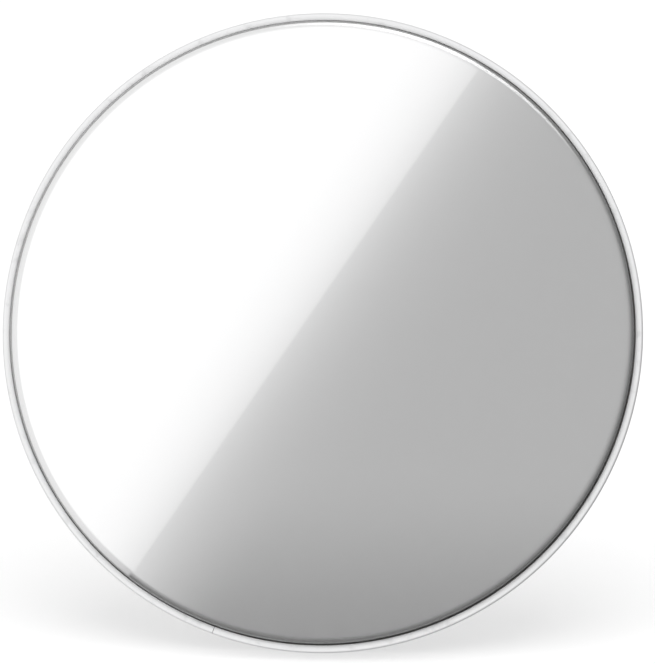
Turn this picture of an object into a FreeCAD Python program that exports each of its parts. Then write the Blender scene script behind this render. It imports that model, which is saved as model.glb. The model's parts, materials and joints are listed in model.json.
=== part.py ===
"""A clear two-ply drum head: two nested polyester films, their slotted edge cast with resin into a rolled hoop.

The head lies flat with its playing surface up. +Z is its axis, from the middle of the plane that it rests on.
"""
import FreeCAD
import Part
import math
import os

# Hoop, in millimetres: one strip rolled into a lipped channel
nominal_diameter = 355.6
shell_clearance = 1.4
strip_thickness = 1.0
bend_radius = 0.9
bend_flat_count = 2
edge_break = 0.25
channel_width = 4.55
channel_depth = 7.8
inner_wall_drop = 0.8
seam_gap = 0.3
seam_direction = 250.0

# Film: two plies drawn together
ply_thickness = 0.178
film_clearance = 0.5
collar_height = 10.2
collar_angle = 88.0
crown_radius = 5.2
crown_flat_count = 3

# Slotted film edge and the resin around it
resin_drop = 0.3
film_exit = 0.4
edge_clearance = 0.7
slot_count = 16
slot_length = 24.0
slot_height = 3.0
slot_overrun = 1.0

# Strip across the hoop's seam
seam_strip_thickness = 0.9
seam_strip_length = 36.0
seam_strip_clearance = 0.5

# Radii and levels that follow from the sizes above
hoop_inner_radius = nominal_diameter / 2 + shell_clearance
channel_inner_radius = hoop_inner_radius + strip_thickness
channel_outer_radius = channel_inner_radius + channel_width
hoop_outer_radius = channel_outer_radius + strip_thickness
hoop_height = channel_depth + 2 * strip_thickness
outside_bend = bend_radius + strip_thickness / 2
film_inner_radius = channel_inner_radius + film_clearance
film_outer_radius = film_inner_radius + 2 * ply_thickness
lip_edge_radius = film_outer_radius + film_clearance
resin_top = hoop_height - strip_thickness - resin_drop
film_edge = strip_thickness + seam_strip_thickness + edge_clearance
knee_level = resin_top + film_exit
playing_surface = hoop_height + collar_height

AXIS = FreeCAD.Vector(0, 0, 1)
ORIGIN = FreeCAD.Vector(0, 0, 0)


def bend(radius, height, size, start, end, flats):
    """Points along an arc of the half section, from one angle to another in degrees, 0 being outwards."""
    turn = [math.radians(start + (end - start) * step / flats) for step in range(flats + 1)]
    return [(radius + size * math.cos(angle), height + size * math.sin(angle)) for angle in turn]


def section(corners):
    """A closed face in the half plane y = 0 from pairs of radius and height."""
    points = [FreeCAD.Vector(radius, 0, height) for radius, height in corners]
    return Part.Face(Part.makePolygon(points + points[:1]))


def revolved(corners, start=0.0, sweep=360.0):
    """The solid that a half section sweeps about the head's axis, from one angle on."""
    face = section(corners)
    face.rotate(ORIGIN, AXIS, start)
    return face.revolve(ORIGIN, AXIS, sweep)


def make_hoop_channel():
    """The hoop: lip, outer wall, floor and inner wall bent from one strip, a ring but for its butt seam."""
    inner_wall_top = hoop_height - inner_wall_drop
    lip_underside = hoop_height - strip_thickness
    inner_centre = hoop_inner_radius + outside_bend
    outer_centre = hoop_outer_radius - outside_bend
    lip = [
        (lip_edge_radius, lip_underside),
        (lip_edge_radius, hoop_height - edge_break),
        (lip_edge_radius + edge_break, hoop_height),
    ]
    outside = [
        *bend(outer_centre, hoop_height - outside_bend, outside_bend, 90, 0, bend_flat_count),
        *bend(outer_centre, outside_bend, outside_bend, 0, -90, bend_flat_count),
        *bend(inner_centre, outside_bend, outside_bend, -90, -180, bend_flat_count),
    ]
    inner_wall = [
        (hoop_inner_radius, inner_wall_top),
        (channel_inner_radius, inner_wall_top),
    ]
    inside = [
        (channel_inner_radius, strip_thickness),
        (channel_outer_radius, strip_thickness),
        (channel_outer_radius, lip_underside),
    ]
    seam_sweep = math.degrees(seam_gap / hoop_outer_radius)
    corners = lip + outside + inner_wall + inside
    return revolved(corners, seam_direction + seam_sweep / 2, 360 - seam_sweep)


def film_line(depth):
    """Corners of a film surface from the axis over crown and collar to its edge, at a depth under the top."""
    lean = 90 - collar_angle
    slope = math.radians(collar_angle)
    knee_drop = depth * math.tan(math.radians(lean) / 2)
    crown_level = playing_surface - crown_radius
    slope_height = crown_level + crown_radius * math.cos(slope) - knee_level
    crown_centre = film_outer_radius - slope_height / math.tan(slope) - crown_radius * math.sin(slope)
    return [
        (0, playing_surface - depth),
        *bend(crown_centre, crown_level, crown_radius - depth, 90, lean, crown_flat_count),
        (film_outer_radius - depth, knee_level - knee_drop),
        (film_outer_radius - depth, film_edge),
    ]


def edge_slots():
    """The slots punched through both plies near their edge, as one compound of blocks."""
    depth = 2 * ply_thickness + 2 * slot_overrun
    level = (film_edge + resin_top) / 2 - slot_height / 2
    corner = FreeCAD.Vector(film_inner_radius - slot_overrun, -slot_length / 2, level)
    blocks = []
    for index in range(slot_count):
        block = Part.makeBox(depth, slot_length, slot_height, corner)
        block.rotate(ORIGIN, AXIS, 360.0 * index / slot_count)
        blocks.append(block)
    return Part.makeCompound(blocks)


def make_ply(outer_depth):
    """One film whose outer surface is at a depth below the playing surface, with its slotted edge."""
    inner_line = film_line(outer_depth + ply_thickness)
    film = revolved(film_line(outer_depth) + inner_line[::-1])
    return film.cut(edge_slots()).Solids[0]


def make_seam_strip():
    """The strip that bridges the butt seam on the channel's floor, curved with the channel."""
    inner = channel_inner_radius + seam_strip_clearance
    outer = channel_outer_radius - seam_strip_clearance
    top = strip_thickness + seam_strip_thickness
    corners = [(inner, strip_thickness), (outer, strip_thickness), (outer, top), (inner, top)]
    sweep = math.degrees(seam_strip_length / ((inner + outer) / 2))
    return revolved(corners, seam_direction - sweep / 2, sweep)


def make_resin_fill():
    """The resin cast around the slotted film edge and the seam strip, with a key through every slot."""
    channel = revolved([
        (channel_inner_radius, strip_thickness),
        (channel_outer_radius, strip_thickness),
        (channel_outer_radius, resin_top),
        (channel_inner_radius, resin_top),
    ])
    film = revolved([
        (film_inner_radius, film_edge),
        (film_outer_radius, film_edge),
        (film_outer_radius, resin_top),
        (film_inner_radius, resin_top),
    ])
    return channel.cut(film.cut(edge_slots())).cut(make_seam_strip()).Solids[0]


def main():
    os.makedirs("parts", exist_ok=True)
    nodes = {
        "top_ply": make_ply(0.0),
        "bottom_ply": make_ply(ply_thickness),
        "hoop_channel": make_hoop_channel(),
        "resin_fill": make_resin_fill(),
        "seam_strip": make_seam_strip(),
    }
    for name, shape in nodes.items():
        shape.exportStep(f"parts/{name}.step")
        state = "valid" if shape.isValid() else "broken"
        print(name, state, len(shape.Solids), "solid", round(shape.Volume, 1), "mm3")


main()
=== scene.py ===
"""A clear two-ply drum head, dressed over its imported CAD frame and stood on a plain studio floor."""

import json
import math

import bmesh
import bpy
from bpy.props import FloatProperty, FloatVectorProperty, IntProperty, PointerProperty
from mathutils import Matrix, Vector


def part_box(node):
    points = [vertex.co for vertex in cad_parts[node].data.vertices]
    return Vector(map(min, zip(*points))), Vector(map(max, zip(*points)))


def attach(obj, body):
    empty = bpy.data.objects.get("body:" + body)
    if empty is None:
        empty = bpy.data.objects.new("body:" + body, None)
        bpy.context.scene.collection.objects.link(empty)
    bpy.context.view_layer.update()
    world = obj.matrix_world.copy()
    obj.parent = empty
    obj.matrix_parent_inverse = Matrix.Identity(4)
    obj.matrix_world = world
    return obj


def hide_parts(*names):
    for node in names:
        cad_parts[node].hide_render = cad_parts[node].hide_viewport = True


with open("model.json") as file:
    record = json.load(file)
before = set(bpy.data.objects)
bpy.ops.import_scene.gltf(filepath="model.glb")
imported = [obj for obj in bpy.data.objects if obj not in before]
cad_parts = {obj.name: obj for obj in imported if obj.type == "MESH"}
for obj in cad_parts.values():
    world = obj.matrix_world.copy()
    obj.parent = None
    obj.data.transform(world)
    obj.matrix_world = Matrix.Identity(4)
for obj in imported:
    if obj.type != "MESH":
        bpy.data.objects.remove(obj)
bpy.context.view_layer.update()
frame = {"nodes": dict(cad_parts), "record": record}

bl_info = {
    "name": "Drum head",
    "version": (1, 0, 0),
    "blender": (4, 5, 0),
    "location": "View3D > Sidebar > Drum head",
    "description": "Builds a clear two-ply drum head and the studio it is seen in",
    "category": "Object",
}

# What the frame gives
HOOP_LOW, HOOP_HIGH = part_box("hoop_channel")
FILM_LOW, FILM_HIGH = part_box("top_ply")
MOUNTS = {mount["name"]: mount for mount in frame["record"]["mounts"]}
HOOP_OUTER = MOUNTS["counterhoop_seat"]["dims"]["r_mm"] / 1000
HOOP_INNER = MOUNTS["shell_seat"]["dims"]["r_mm"] / 1000

AXIS = Vector((0, 0, 1))
QUARTER = math.pi / 2
FULL_TURN = 2 * math.pi

# How finely the sections are divided, and what counts as one point and as a sharp edge
FLAT_RINGS = 6
COLLAR_RINGS = 2
CROWN_STEPS = 14
KNEE_STEPS = 5
BEND_STEPS = 8
EDGE_STEPS = 3
DISC_STEPS = 96
MERGE_DISTANCE = 1e-6
SHARP_ANGLE = math.radians(30)

# Sockets of a Mix node set to colours
MIX_SHARE, MIX_FIRST, MIX_SECOND = 0, 6, 7
MIX_RESULT = 2

WHITE = (1.0, 1.0, 1.0, 1.0)
BLACK = (0.0, 0.0, 0.0, 1.0)
FLOOR_PAINT = (0.42, 0.42, 0.42, 1.0)
FLOOR_GLOW = 0.54
CAMERA_REACH = 100

# Slanted edge of the painted reflection on the cards: a point on it and the way to its grey side
EDGE_X, EDGE_Y = 0.0885, 0.1505
GREY_WAY_X, GREY_WAY_Y = 0.824, -0.566
EDGE_BLUR = 0.001

# Brightness of a card's white side and its painted grey reflection, their painted change at the slanted edge and how
# far that reaches
CARD_WHITE, PAINTED_REFLECTION_DIP, PAINTED_REFLECTION_DIP_REACH = 1.11, 0.34, 0.0205
PAINTED_REFLECTION_GREY, PAINTED_REFLECTION_LIFT, PAINTED_REFLECTION_REACH = 0.345, 0.315, 0.0235

# Painted shade at the rims of the two cards: the middle as the camera sees it through the film, and the radii between
# which the painted shade darkens them
DISC_PAINTED_RIM_SHADE = {"middle": (-0.0011, 0.0015), "start": 0.1769, "end": 0.1837}
RING_PAINTED_RIM_SHADE = {"middle": (0.0003, 0.0007), "start": 0.1767, "end": 0.181}

# Directions in the studio, and the brightness that metal and film find there
LAMP_WAY, LAMP_LEVEL = (0.325, 0.894, 0.309), 3.6
BRIGHT_WAY, BRIGHT_LEVEL = (-0.8, 0.6, 0.0), 0.14
DARK_WAY, DARK_LEVEL = (0.94, -0.34, 0.0), 0.22
SIDE_LEVEL, FRONT_LEVEL, LOW_LEVEL = 0.7, 0.35, 0.06
TWICE_MIRRORED_LOSS = 0.92


class FilmSettings(bpy.types.PropertyGroup):
    """Sizes and looks of the two drawn films."""

    ply: FloatProperty(
        name="Ply thickness", description="Thickness of one film", default=0.000178, unit="LENGTH", precision=6
    )
    ply_gap: FloatProperty(
        name="Ply gap", description="Air between the two films", default=0.00003, unit="LENGTH", precision=6
    )
    outer_radius: FloatProperty(
        name="Skirt radius", description="Outside radius of the skirt in the hoop", default=0.181056, unit="LENGTH"
    )
    knee_level: FloatProperty(
        name="Knee level", description="Height where the collar turns into the skirt", default=0.0089, unit="LENGTH"
    )
    knee_radius: FloatProperty(
        name="Knee radius", description="Outside radius of that turn", default=0.0012, unit="LENGTH", precision=5
    )
    crown_radius: FloatProperty(
        name="Crown radius", description="Outside radius around the playing surface", default=0.0052, unit="LENGTH"
    )
    collar_angle: FloatProperty(
        name="Collar angle", description="Slope of the collar", default=math.radians(88), subtype="ANGLE"
    )
    slots: IntProperty(name="Slots", description="Slots punched in the skirt", default=16, min=1)
    slot_steps: IntProperty(name="Slot length", description="Length of a slot in segments", default=10, min=1)
    slot_low: FloatProperty(
        name="Slot bottom", description="Lower side of the slots", default=0.00405, unit="LENGTH"
    )
    slot_high: FloatProperty(
        name="Slot top", description="Upper side of the slots", default=0.00705, unit="LENGTH"
    )
    segments: IntProperty(name="Segments", description="Segments of a full turn", default=480, min=24)
    colour: FloatVectorProperty(
        name="Film colour", description="Tint of one film", default=(0.973, 0.973, 0.974), subtype="COLOR", size=3
    )
    ior: FloatProperty(name="Film index", description="Refractive index of polyester film", default=1.6)


class HoopSettings(bpy.types.PropertyGroup):
    """Sizes and looks of the rolled channel, its resin and its seam."""

    strip: FloatProperty(
        name="Strip thickness", description="Sheet that the hoop is rolled from", default=0.001, unit="LENGTH"
    )
    bend: FloatProperty(
        name="Outside bend", description="Outside radius of the rolled bends", default=0.0014, unit="LENGTH"
    )
    edge: FloatProperty(
        name="Edge break", description="Rounding on the strip's two edges", default=0.00025, unit="LENGTH",
        precision=5,
    )
    lip_edge: FloatProperty(
        name="Lip edge", description="Radius of the lip's free edge", default=0.181556, unit="LENGTH", precision=5
    )
    wall_drop: FloatProperty(
        name="Inner wall drop", description="How far the inner wall ends below the lip", default=0.0008,
        unit="LENGTH",
    )
    seam_gap: FloatProperty(
        name="Seam gap", description="Gap of the butt seam", default=0.0003, unit="LENGTH", precision=5
    )
    seam_direction: FloatProperty(
        name="Seam direction", description="Where the seam is", default=math.radians(250), subtype="ANGLE"
    )
    segments: IntProperty(name="Segments", description="Segments of a full turn", default=480, min=24)
    colour: FloatVectorProperty(
        name="Hoop colour", description="Bare aluminium", default=(0.93, 0.932, 0.935), subtype="COLOR", size=3
    )
    resin_climb: FloatProperty(
        name="Resin climb", description="How far the resin's fillet climbs the film above the inner wall",
        default=0.0006, unit="LENGTH", precision=5,
    )
    fit: FloatProperty(
        name="Fit", description="Gap that keeps two touching surfaces apart", default=0.00002, unit="LENGTH",
        precision=6,
    )
    resin_colour: FloatVectorProperty(
        name="Resin colour", description="Cast resin", default=(0.16, 0.157, 0.15), subtype="COLOR", size=3
    )


class StageSettings(bpy.types.PropertyGroup):
    """Camera, floor and light."""

    distance: FloatProperty(name="Distance", description="Camera to head", default=4.0, unit="LENGTH")
    frame_height: FloatProperty(
        name="Frame height", description="What the picture's height covers at the head", default=0.3850,
        unit="LENGTH",
    )
    right: FloatProperty(
        name="Right of axis", description="How far right the camera stands", default=math.radians(3.2),
        subtype="ANGLE",
    )
    below: FloatProperty(
        name="Below axis", description="How far below the camera stands", default=math.radians(4.4),
        subtype="ANGLE",
    )
    aim_right: FloatProperty(
        name="Aim right", description="Picture's middle, right of the head's", default=0.0030, unit="LENGTH"
    )
    aim_up: FloatProperty(
        name="Aim up", description="Picture's middle, above the head's", default=0.0002, unit="LENGTH"
    )
    floor_pitch: FloatProperty(
        name="Floor pitch", description="How far the camera looks down on the floor", default=math.radians(15),
        subtype="ANGLE",
    )
    floor_radius: FloatProperty(name="Floor radius", description="Reach of the floor", default=8.0, unit="LENGTH")
    key_tilt: FloatProperty(
        name="Key tilt", description="Key light's tilt to the front from overhead", default=math.radians(17),
        subtype="ANGLE",
    )
    key_spread: FloatProperty(
        name="Key spread", description="Angular width of the key light", default=math.radians(50), subtype="ANGLE"
    )
    key_strength: FloatProperty(name="Key strength", description="Strength of the key light", default=1.5)
    card_depth: FloatProperty(
        name="Card depth", description="Grey card's distance behind the hoop", default=0.001, unit="LENGTH"
    )


class Signal:
    """A shader socket in a Python expression: each operator adds one Math node to its tree."""

    def __init__(self, shading, socket):
        self.shading = shading
        self.socket = socket

    def maths(self, operation, *values):
        return self.shading.node("ShaderNodeMath", {"operation": operation}, dict(enumerate(values)))

    def __add__(self, other):
        return self.maths("ADD", self, other)

    def __radd__(self, other):
        return self.maths("ADD", other, self)

    def __sub__(self, other):
        return self.maths("SUBTRACT", self, other)

    def __rsub__(self, other):
        return self.maths("SUBTRACT", other, self)

    def __mul__(self, other):
        return self.maths("MULTIPLY", self, other)

    def __rmul__(self, other):
        return self.maths("MULTIPLY", other, self)

    def __truediv__(self, other):
        return self.maths("DIVIDE", self, other)

    def __rtruediv__(self, other):
        return self.maths("DIVIDE", other, self)

    def __pow__(self, other):
        return self.maths("POWER", self, other)

    def __rpow__(self, other):
        return self.maths("POWER", other, self)

    def __gt__(self, other):
        return self.maths("GREATER_THAN", self, other)

    def fading(self, reach):
        """1 up to where this is 0, then down to about a third for each reach."""
        return math.exp(-1) ** (self.maths("MAXIMUM", self, 0.0) / reach)


class Shading:
    """A node tree that is written from Python."""

    def __init__(self, owner):
        owner.use_nodes = True
        self.tree = owner.node_tree
        self.tree.nodes.clear()

    def node(self, kind, settings, values, output=0):
        """Adds a node: its settings first, then the values or links of its sockets. Gives one output."""
        made = self.tree.nodes.new(kind)
        for name, setting in settings.items():
            setattr(made, name, setting)
        for name, value in values.items():
            socket = made.inputs[name]
            if isinstance(value, Signal):
                self.tree.links.new(value.socket, socket)
            else:
                socket.default_value = value
        return Signal(self, made.outputs[output]) if len(made.outputs) else None

    def place(self):
        """A point's place in the head's own frame."""
        return self.node("ShaderNodeTexCoord", {}, {}, "Object")

    def part(self, vector, axis):
        """One number of a vector."""
        return self.node("ShaderNodeSeparateXYZ", {}, {"Vector": vector}, axis)

    def along(self, vector, way):
        """How far a vector goes in a direction."""
        return self.node("ShaderNodeVectorMath", {"operation": "DOT_PRODUCT"}, {0: vector, 1: way}, "Value")

    def noise(self, vector, scale, detail):
        """Cloudy noise around one half."""
        return self.node("ShaderNodeTexNoise", {}, {"Vector": vector, "Scale": scale, "Detail": detail}, "Fac")

    def ramp(self, value, low, high, start=0.0, end=1.0):
        """A smooth step from start to end while value goes from low to high."""
        settings = {"interpolation_type": "SMOOTHSTEP"}
        values = {"Value": value, "From Min": low, "From Max": high, "To Min": start, "To Max": end}
        return self.node("ShaderNodeMapRange", settings, values)

    def tint(self, share, first, second):
        """A colour between two others."""
        values = {MIX_SHARE: share, MIX_FIRST: (*first, 1.0), MIX_SECOND: (*second, 1.0)}
        return self.node("ShaderNodeMix", {"data_type": "RGBA"}, values, MIX_RESULT)

    def relief(self, height, strength, depth):
        """A normal that follows a height."""
        return self.node("ShaderNodeBump", {}, {"Height": height, "Strength": strength, "Distance": depth})

    def principled(self, values):
        return self.node("ShaderNodeBsdfPrincipled", {}, values)

    def show(self, shader, output="ShaderNodeOutputMaterial"):
        self.node(output, {}, {"Surface": shader})


class Lathe:
    """A half section drawn in the x-z plane with a pen, then turned about the head's axis."""

    def __init__(self, radius, height):
        self.mesh = bmesh.new()
        self.start = self.pen = self.mesh.verts.new((radius, 0, height))

    def line(self, radius, height, pieces=1):
        step = (Vector((radius, 0, height)) - self.pen.co) / pieces
        for _ in range(pieces):
            grown = bmesh.ops.extrude_vert_indiv(self.mesh, verts=[self.pen])
            self.pen = grown["verts"][0]
            bmesh.ops.translate(self.mesh, verts=[self.pen], vec=step)

    def arc(self, radius, height, angle, steps):
        """Turns the pen about a point, outwards and down where the angle is positive."""
        turned = bmesh.ops.spin(
            self.mesh, geom=[self.pen], cent=(radius, 0, height), axis=(0, 1, 0), angle=angle, steps=steps
        )
        self.pen = next(item for item in turned["geom_last"] if isinstance(item, bmesh.types.BMVert))

    def close(self):
        self.mesh.edges.new((self.pen, self.start))

    def turn(self, steps, start=0.0, sweep=FULL_TURN):
        """Spins the section about the axis, and caps its two ends where the turn isn't full."""
        full = math.isclose(sweep, FULL_TURN)
        matrix = Matrix.Rotation(start, 3, AXIS)
        bmesh.ops.rotate(self.mesh, verts=self.mesh.verts[:], cent=(0, 0, 0), matrix=matrix)
        bmesh.ops.spin(
            self.mesh, geom=self.mesh.verts[:] + self.mesh.edges[:], cent=(0, 0, 0), axis=AXIS, angle=sweep,
            steps=steps, use_merge=full,
        )
        bmesh.ops.remove_doubles(self.mesh, verts=self.mesh.verts[:], dist=MERGE_DISTANCE)
        if not full:
            rims = [edge for edge in self.mesh.edges if edge.is_boundary]
            bmesh.ops.holes_fill(self.mesh, edges=rims, sides=0)
        bmesh.ops.recalc_face_normals(self.mesh, faces=self.mesh.faces[:])
        return self.mesh


def add_object(mesh, name, material):
    """Makes a mesh an object of the scene, with one material."""
    data = bpy.data.meshes.new(name)
    mesh.to_mesh(data)
    mesh.free()
    data.materials.append(material)
    made = bpy.data.objects.new(name, data)
    bpy.context.scene.collection.objects.link(made)
    return made


def finish_piece(mesh, name, material):
    """Makes a finished mesh an object of the head, smooth but for its sharp edges."""
    for face in mesh.faces:
        face.smooth = True
    for edge in mesh.edges:
        edge.smooth = len(edge.link_faces) == 2 and edge.calc_face_angle(0.0) < SHARP_ANGLE
    piece = add_object(mesh, name, material)
    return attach(piece, "root")


def clear_film_finish(film):
    """Clear polyester: real glass-like film with a faint uneven gloss and a little waviness."""
    material = bpy.data.materials.new("clear_film")
    shading = Shading(material)
    place = shading.place()
    waves = shading.noise(place, scale=9.0, detail=1.0)
    scuffs = shading.noise(place, scale=60.0, detail=4.0)
    values = {
        "Base Color": (*film.colour, 1.0),
        "Roughness": shading.ramp(scuffs, 0.5, 0.75, start=0.004, end=0.022),
        "IOR": film.ior,
        "Transmission Weight": 1.0,
        "Normal": shading.relief(waves, strength=0.02, depth=0.001),
    }
    shading.show(shading.principled(values))
    return material


def rolled_aluminium_finish(hoop):
    """Bare rolled strip: fine lines along the hoop, a satin gloss and small dull marks."""
    material = bpy.data.materials.new("hoop_aluminium")
    shading = Shading(material)
    place = shading.place()
    x, y, z = (shading.part(place, axis) for axis in "XYZ")
    radius = (x * x + y * y) ** 0.5
    along_scale, across_scale = 6.0, 2600.0
    around = {"X": x / radius * along_scale, "Y": y / radius * along_scale, "Z": z * across_scale}
    spread = {
        "Vector": shading.node("ShaderNodeCombineXYZ", {}, around),
        "W": radius * across_scale,
        "Scale": 1.0,
        "Detail": 3.0,
    }
    lines = shading.node("ShaderNodeTexNoise", {"noise_dimensions": "4D"}, spread, "Fac")
    marks = shading.noise(place, scale=160.0, detail=3.0)
    dull = shading.ramp(marks, 0.56, 0.72)
    grey_share = 0.86
    grey = [grey_share * channel for channel in hoop.colour]
    values = {
        "Base Color": shading.tint(0.35 * lines + 0.4 * dull, hoop.colour, grey),
        "Metallic": 1.0,
        "Roughness": 0.38 + 0.16 * lines + 0.08 * dull,
        "Normal": shading.relief(lines, strength=0.12, depth=0.0002),
    }
    shading.show(shading.principled(values))
    return material


def cast_resin_finish(hoop):
    """Dark cast resin: an uneven, slightly glossy skin with small pits."""
    material = bpy.data.materials.new("cast_resin")
    shading = Shading(material)
    place = shading.place()
    swirl = shading.noise(place, scale=70.0, detail=5.0)
    cells = shading.node("ShaderNodeTexVoronoi", {}, {"Vector": place, "Scale": 420.0}, "Distance")
    pits = shading.ramp(cells, 0.05, 0.3)
    pale_share = 1.4
    pale = [pale_share * channel for channel in hoop.resin_colour]
    values = {
        "Base Color": shading.tint(shading.ramp(swirl, 0.35, 0.7), hoop.resin_colour, pale),
        "Roughness": 0.3 + 0.35 * swirl,
        "Normal": shading.relief(swirl + 0.4 * pits, strength=0.4, depth=0.0004),
    }
    shading.show(shading.principled(values))
    return material


def film_section(film, outer, inner):
    """The half section of one film between two depths under the top, from the axis to its edge and back."""
    angle = film.collar_angle
    lean = QUARTER - angle
    top = FILM_HIGH.z
    crown_level = top - film.crown_radius
    rise = crown_level + film.crown_radius * math.cos(angle) - film.knee_level
    crown_centre = film.outer_radius - rise / math.tan(angle) - film.crown_radius * math.sin(angle)
    knee_centre = film.outer_radius - film.knee_radius
    knee_height = film.knee_level - film.knee_radius * math.tan(lean / 2)
    levels = (film.slot_high, film.slot_low, FILM_LOW.z)

    def collar_end(centre, height, size):
        """Where the collar meets a bend about a point."""
        return centre + size * math.sin(angle), height + size * math.cos(angle)

    lathe = Lathe(0.0, top - outer)
    lathe.line(crown_centre, top - outer, FLAT_RINGS)
    lathe.arc(crown_centre, crown_level, angle, CROWN_STEPS)
    lathe.line(*collar_end(knee_centre, knee_height, film.knee_radius - outer), COLLAR_RINGS)
    lathe.arc(knee_centre, knee_height, lean, KNEE_STEPS)
    for level in levels:
        lathe.line(film.outer_radius - outer, level)
    for level in reversed(levels):
        lathe.line(film.outer_radius - inner, level)
    lathe.line(film.outer_radius - inner, knee_height)
    lathe.arc(knee_centre, knee_height, -lean, KNEE_STEPS)
    lathe.line(*collar_end(crown_centre, crown_level, film.crown_radius - inner), COLLAR_RINGS)
    lathe.arc(crown_centre, crown_level, -angle, CROWN_STEPS)
    lathe.line(0.0, top - inner, FLAT_RINGS)
    return lathe


def punch_slots(mesh, film):
    """Opens the slots in the skirt and joins their two rims through the film."""
    pitch = film.segments // film.slots
    step = FULL_TURN / film.segments

    def segments_round(place):
        return math.atan2(place.y, place.x) / step

    def in_slot(place):
        past_start = (segments_round(place) + film.slot_steps / 2) % film.segments % pitch
        return film.slot_low < place.z < film.slot_high and past_start < film.slot_steps

    gone = [face for face in mesh.faces if in_slot(face.calc_center_median())]
    bmesh.ops.delete(mesh, geom=gone, context="FACES")
    rims = {}
    for edge in mesh.edges:
        if edge.is_boundary:
            middle = (edge.verts[0].co + edge.verts[1].co) / 2
            slot = round(segments_round(middle) / pitch) % film.slots
            rims.setdefault(slot, []).append(edge)
    for edges in rims.values():
        bmesh.ops.bridge_loops(mesh, edges=edges)
    bmesh.ops.recalc_face_normals(mesh, faces=mesh.faces[:])


class DRUMHEAD_OT_make_films(bpy.types.Operator):
    """Build the two nested clear films with their slotted skirts"""

    bl_idname = "drumhead.make_films"
    bl_label = "Make films"

    def execute(self, context):
        film = context.scene.drum_head_film
        finish = clear_film_finish(film)
        half_gap = film.ply_gap / 2
        depths = {
            "top_film": ("top_ply", half_gap, film.ply - half_gap),
            "bottom_film": ("bottom_ply", film.ply + half_gap, 2 * film.ply),
        }
        for name, (node, outer, inner) in depths.items():
            mesh = film_section(film, outer, inner).turn(film.segments)
            punch_slots(mesh, film)
            piece = finish_piece(mesh, name, finish)
            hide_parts(node)
        return {"FINISHED"}


class DRUMHEAD_OT_make_hoop(bpy.types.Operator):
    """Build the rolled hoop with its lip, bends and butt seam"""

    bl_idname = "drumhead.make_hoop"
    bl_label = "Make hoop"

    def execute(self, context):
        hoop = context.scene.drum_head_hoop
        top = HOOP_HIGH.z
        wall_top = top - hoop.wall_drop
        outer_centre = HOOP_OUTER - hoop.bend
        inner_centre = HOOP_INNER + hoop.bend
        lathe = Lathe(hoop.lip_edge, top - hoop.strip)
        lathe.line(hoop.lip_edge, top - hoop.edge)
        lathe.arc(hoop.lip_edge + hoop.edge, top - hoop.edge, QUARTER, EDGE_STEPS)
        lathe.line(outer_centre, top)
        lathe.arc(outer_centre, top - hoop.bend, QUARTER, BEND_STEPS)
        lathe.line(HOOP_OUTER, hoop.bend)
        lathe.arc(outer_centre, hoop.bend, QUARTER, BEND_STEPS)
        lathe.line(inner_centre, 0.0)
        lathe.arc(inner_centre, hoop.bend, QUARTER, BEND_STEPS)
        lathe.line(HOOP_INNER, wall_top - hoop.edge)
        lathe.arc(HOOP_INNER + hoop.edge, wall_top - hoop.edge, QUARTER, EDGE_STEPS)
        lathe.line(HOOP_INNER + hoop.strip, wall_top)
        lathe.line(HOOP_INNER + hoop.strip, hoop.strip)
        lathe.line(HOOP_OUTER - hoop.strip, hoop.strip)
        lathe.line(HOOP_OUTER - hoop.strip, top - hoop.strip)
        lathe.close()
        gap = hoop.seam_gap / HOOP_OUTER
        mesh = lathe.turn(hoop.segments, hoop.seam_direction + gap / 2, FULL_TURN - gap)
        piece = finish_piece(mesh, "rolled_hoop", rolled_aluminium_finish(hoop))
        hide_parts("hoop_channel")
        return {"FINISHED"}


class DRUMHEAD_OT_finish_filling(bpy.types.Operator):
    """Give the cast resin and the strip under the seam their finishes, and run the resin up against the film"""

    bl_idname = "drumhead.finish_filling"
    bl_label = "Finish resin and seam strip"

    def execute(self, context):
        hoop = context.scene.drum_head_hoop
        film = context.scene.drum_head_film
        finishes = {"resin_fill": cast_resin_finish(hoop), "seam_strip": bpy.data.materials["hoop_aluminium"]}
        for node, finish in finishes.items():
            for slot in frame["nodes"][node].material_slots:
                slot.material = finish

        skirt = film.outer_radius - 2 * film.ply - hoop.fit
        wall_top = HOOP_HIGH.z - hoop.wall_drop
        resin_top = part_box("resin_fill")[1].z
        wall_outside = HOOP_INNER + hoop.strip
        start = HOOP_INNER + hoop.edge
        climb = hoop.resin_climb
        foot = skirt - climb / math.tan(film.collar_angle) - start
        hollow = (foot ** 2 + climb ** 2) / (2 * climb)
        lathe = Lathe(start, wall_top)
        lathe.arc(start, wall_top + hollow, -math.asin(foot / hollow), BEND_STEPS)
        lathe.line(skirt, film.knee_level)
        lathe.line(skirt, resin_top)
        lathe.line(wall_outside, resin_top)
        lathe.line(wall_outside, wall_top)
        lathe.close()
        fillet = finish_piece(lathe.turn(hoop.segments), "resin_fillet", finishes["resin_fill"])
        return {"FINISHED"}


def stage_piece(mesh, name, material):
    """Makes a mesh an object of the stage."""
    piece = add_object(mesh, name, material)
    return piece


def stage_disc(radius, matrix):
    """A flat round, placed by a matrix."""
    mesh = bmesh.new()
    bmesh.ops.create_circle(mesh, cap_ends=True, segments=DISC_STEPS, radius=radius, matrix=matrix)
    return mesh


def hide_from(thing, *rays):
    """Keeps an object out of sight of some kinds of ray."""
    for kind in rays:
        setattr(thing, f"visible_{kind}", False)


def turned_to(direction):
    """The turn that brings the z axis to a direction."""
    return direction.to_track_quat("Z", "Y").to_matrix().to_4x4()


def floor_finish():
    """Matt white floor that hides nothing when it is seen from below."""
    material = bpy.data.materials.new("studio_floor")
    shading = Shading(material)
    paint = shading.principled({
        "Base Color": FLOOR_PAINT,
        "Roughness": 1.0,
        "Specular IOR Level": 0.0,
        "Emission Color": WHITE,
        "Emission Strength": FLOOR_GLOW,
    })
    clear = shading.node("ShaderNodeBsdfTransparent", {}, {})
    below = shading.node("ShaderNodeNewGeometry", {}, {}, "Backfacing")
    shading.show(shading.node("ShaderNodeMixShader", {}, {0: below, 1: paint, 2: clear}))
    return material


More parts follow.
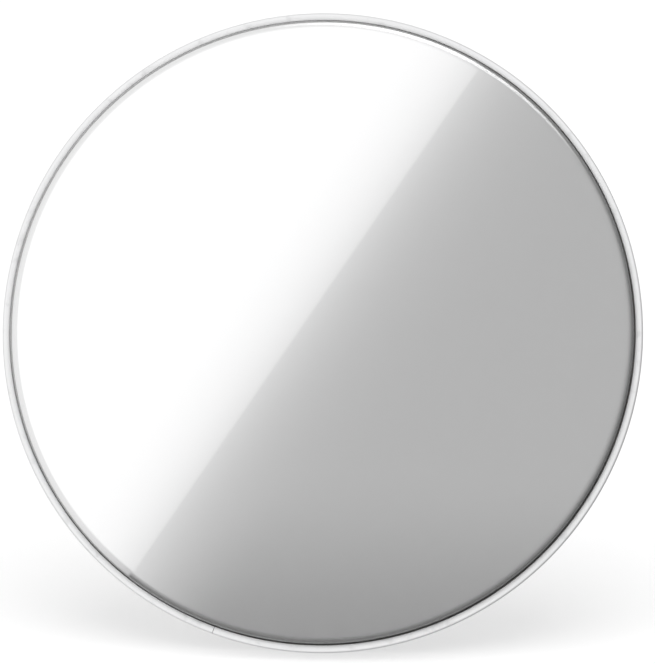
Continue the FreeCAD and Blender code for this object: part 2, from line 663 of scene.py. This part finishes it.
def painted_light_card_finish(name, rim):
    """A glowing card behind the film that paints the light seen through it: white, and a painted grey reflection on
    the right of a slanted edge, with painted shade at the rim and a painted floor shadow at the lower right.
    """
    material = bpy.data.materials.new(name)
    shading = Shading(material)
    place = shading.place()
    x, y = (shading.part(place, axis) for axis in "XY")
    past_edge = GREY_WAY_X * (x - EDGE_X) + GREY_WAY_Y * (y - EDGE_Y)
    middle_x, middle_y = rim["middle"]
    radius = ((x - middle_x) ** 2 + (y - middle_y) ** 2) ** 0.5

    # Painted shade: the white side dims towards the rim
    painted_shade_near_rim = shading.ramp(radius, rim["start"] - 0.0005, rim["start"] + 0.0015, start=1.0, end=0.74)
    # Painted reflection: the white side dims towards the slanted edge
    white = CARD_WHITE * painted_shade_near_rim - PAINTED_REFLECTION_DIP * (0 - past_edge).fading(PAINTED_REFLECTION_DIP_REACH)
    # Painted floor shadow: the grey side darkens towards the lower right
    painted_floor_shadow = shading.ramp(y, -0.08, -0.185, end=0.5) * shading.ramp(past_edge, 0.0, 0.06)
    # Painted reflection: the grey side, lighter towards the slanted edge
    grey = PAINTED_REFLECTION_GREY * (1 - painted_floor_shadow) + PAINTED_REFLECTION_LIFT * past_edge.fading(PAINTED_REFLECTION_REACH)
    # Painted shade: the grey side darkens towards the rim
    painted_rim_shade = shading.ramp(radius, rim["start"], rim["end"], start=1.0, end=0.05)
    # Where the painted grey reflection begins
    painted_reflection_side = shading.ramp(past_edge, -EDGE_BLUR, EDGE_BLUR)
    values = {
        "Base Color": BLACK,
        "Specular IOR Level": 0.0,
        # The card glows with this painted light; it is no lamp
        "Emission Color": white + painted_reflection_side * (grey * painted_rim_shade - white),
        "Emission Strength": 1.0,
    }
    shading.show(shading.principled(values))
    return material


def studio_world(scene):
    """White where it is seen directly or through the film. What metal and film mirror has darker sides and a lamp."""
    scene.world = bpy.data.worlds.new("studio")
    shading = Shading(scene.world)
    direction = shading.node("ShaderNodeTexCoord", {}, {}, "Generated")
    x, y, z = (shading.part(direction, axis) for axis in "XYZ")
    diffuse, glossy, transmitted = (
        shading.node("ShaderNodeLightPath", {}, {}, name)
        for name in ("Diffuse Depth", "Glossy Depth", "Is Transmission Ray")
    )
    bounced = diffuse + glossy > 0.5
    twice_mirrored = glossy > 1.5
    from_inside_film = transmitted * (glossy > 0.5)

    front = FRONT_LEVEL * z
    low = LOW_LEVEL * shading.ramp(y, -0.1, -0.9)
    bright = BRIGHT_LEVEL * shading.ramp(shading.along(direction, BRIGHT_WAY), 0.0, 0.9)
    dark = DARK_LEVEL * shading.ramp(shading.along(direction, DARK_WAY), 0.35, 0.95)
    lost = twice_mirrored * shading.ramp(x, -0.9, 0.1, end=TWICE_MIRRORED_LOSS)
    mirrored = (SIDE_LEVEL + front + bright + low - dark) * (1 - lost)
    lamp = shading.ramp(shading.along(direction, LAMP_WAY), 0.83, 0.985, end=LAMP_LEVEL)
    level = 1 + bounced * (mirrored - 1) + from_inside_film * lamp
    shading.show(shading.node("ShaderNodeBackground", {}, {"Color": level}), "ShaderNodeOutputWorld")


class DRUMHEAD_OT_make_stage(bpy.types.Operator):
    """Set up the camera, the floor and the studio light"""

    bl_idname = "drumhead.make_stage"
    bl_label = "Make stage"

    def execute(self, context):
        scene = context.scene
        stage = scene.drum_head_stage
        toward = Vector((math.sin(stage.right), -math.sin(stage.below), 0.0))
        toward.z = math.sqrt(1 - toward.length_squared)
        across = Vector((0, 1, 0)).cross(toward).normalized()
        upright = toward.cross(across)
        floor_up = math.cos(stage.floor_pitch) * upright + math.sin(stage.floor_pitch) * toward
        self.put_camera(scene, across, upright, toward)
        self.lay_floor(scene, floor_up)
        self.hang_key_light(scene, floor_up, toward)
        self.put_painted_light_cards(scene)
        studio_world(scene)
        scene.view_settings.view_transform = "Standard"
        return {"FINISHED"}

    def put_camera(self, scene, across, upright, toward):
        """Puts the camera on its direction from the head, aimed a little beside the head's middle."""
        stage = scene.drum_head_stage
        lens = bpy.data.cameras.new("camera")
        lens.lens = lens.sensor_width * stage.distance / stage.frame_height
        lens.clip_end = CAMERA_REACH
        camera = bpy.data.objects.new("camera", lens)
        middle = Vector((0, 0, (HOOP_LOW.z + HOOP_HIGH.z) / 2))
        aim = middle + stage.aim_right * across + stage.aim_up * upright
        axes = Matrix((across, upright, toward)).transposed().to_4x4()
        camera.matrix_world = Matrix.Translation(aim + stage.distance * toward) @ axes
        scene.collection.objects.link(camera)
        scene.camera = camera

    def lay_floor(self, scene, floor_up):
        """Lays the floor against the lowest point of the hoop's rounded back."""
        stage = scene.drum_head_stage
        bend = scene.drum_head_hoop.bend
        flat = math.hypot(floor_up.x, floor_up.y)
        level = bend * floor_up.z - bend - (HOOP_OUTER - bend) * flat
        place = Matrix.Translation(level * floor_up) @ turned_to(floor_up)
        floor = stage_piece(stage_disc(stage.floor_radius, place), "floor", floor_finish())
        hide_from(floor, "glossy", "transmission")

    def hang_key_light(self, scene, floor_up, toward):
        """Hangs the broad light over the head, tilted to the front."""
        stage = scene.drum_head_stage
        light = bpy.data.lights.new("key_light", "SUN")
        light.energy = stage.key_strength
        light.angle = stage.key_spread
        key = bpy.data.objects.new("key_light", light)
        forward = (toward - toward.dot(floor_up) * floor_up).normalized()
        key.matrix_world = turned_to(math.cos(stage.key_tilt) * floor_up + math.sin(stage.key_tilt) * forward)
        hide_from(key, "glossy", "transmission")
        scene.collection.objects.link(key)

    def put_painted_light_cards(self, scene):
        """Puts a round card behind the hoop and a ring inside the collar, glowing cards whose painted reflection,
        shade and shadow show through the film.
        """
        stage = scene.drum_head_stage
        hoop = scene.drum_head_hoop
        film = scene.drum_head_film
        disc_place = Matrix.Translation((0, 0, -stage.card_depth))
        disc_mesh = stage_disc(HOOP_INNER + 2 * hoop.strip, disc_place)
        # Glowing disc: painted reflection, rim shade and floor shadow behind the film
        disc = stage_piece(disc_mesh, "painted_light_disc_card", painted_light_card_finish("painted_light_disc_card", DISC_PAINTED_RIM_SHADE))
        ring_level = HOOP_HIGH.z - hoop.wall_drop + hoop.resin_climb + 2 * hoop.fit
        lean = (ring_level - film.knee_level) / math.tan(film.collar_angle)
        ring_line = Lathe(HOOP_INNER - 2 * hoop.strip, ring_level)
        ring_line.line(film.outer_radius - 2 * film.ply - lean - hoop.fit, ring_level)
        # Glowing ring: painted reflection and painted shade at the collar's rim
        ring = stage_piece(ring_line.turn(hoop.segments), "painted_light_ring_card", painted_light_card_finish("painted_light_ring_card", RING_PAINTED_RIM_SHADE))
        hide_from(disc, "camera", "diffuse", "shadow")
        hide_from(ring, "camera", "diffuse", "shadow", "glossy")


class DRUMHEAD_PT_sidebar(bpy.types.Panel):
    """The head's pieces and its stage"""

    bl_idname = "DRUMHEAD_PT_sidebar"
    bl_label = "Drum head"
    bl_space_type = "VIEW_3D"
    bl_region_type = "UI"
    bl_category = "Drum head"

    def draw(self, context):
        for operator in OPERATORS:
            self.layout.operator(operator.bl_idname)
        for group in SETTINGS:
            box = self.layout.box()
            settings = getattr(context.scene, group)
            for name in settings.__annotations__:
                box.prop(settings, name)


SETTINGS = {"drum_head_film": FilmSettings, "drum_head_hoop": HoopSettings, "drum_head_stage": StageSettings}
OPERATORS = (
    DRUMHEAD_OT_make_stage, DRUMHEAD_OT_make_films, DRUMHEAD_OT_make_hoop, DRUMHEAD_OT_finish_filling
)


def register():
    for made in (*SETTINGS.values(), *OPERATORS, DRUMHEAD_PT_sidebar):
        bpy.utils.register_class(made)
    for name, group in SETTINGS.items():
        setattr(bpy.types.Scene, name, PointerProperty(type=group))


def unregister():
    for name in SETTINGS:
        delattr(bpy.types.Scene, name)
    for made in (DRUMHEAD_PT_sidebar, *reversed(OPERATORS), *reversed(SETTINGS.values())):
        bpy.utils.unregister_class(made)


def main():
    register()
    bpy.ops.drumhead.make_stage()
    bpy.ops.drumhead.make_films()
    bpy.ops.drumhead.make_hoop()
    bpy.ops.drumhead.finish_filling()


if __name__ == "__main__":
    main()
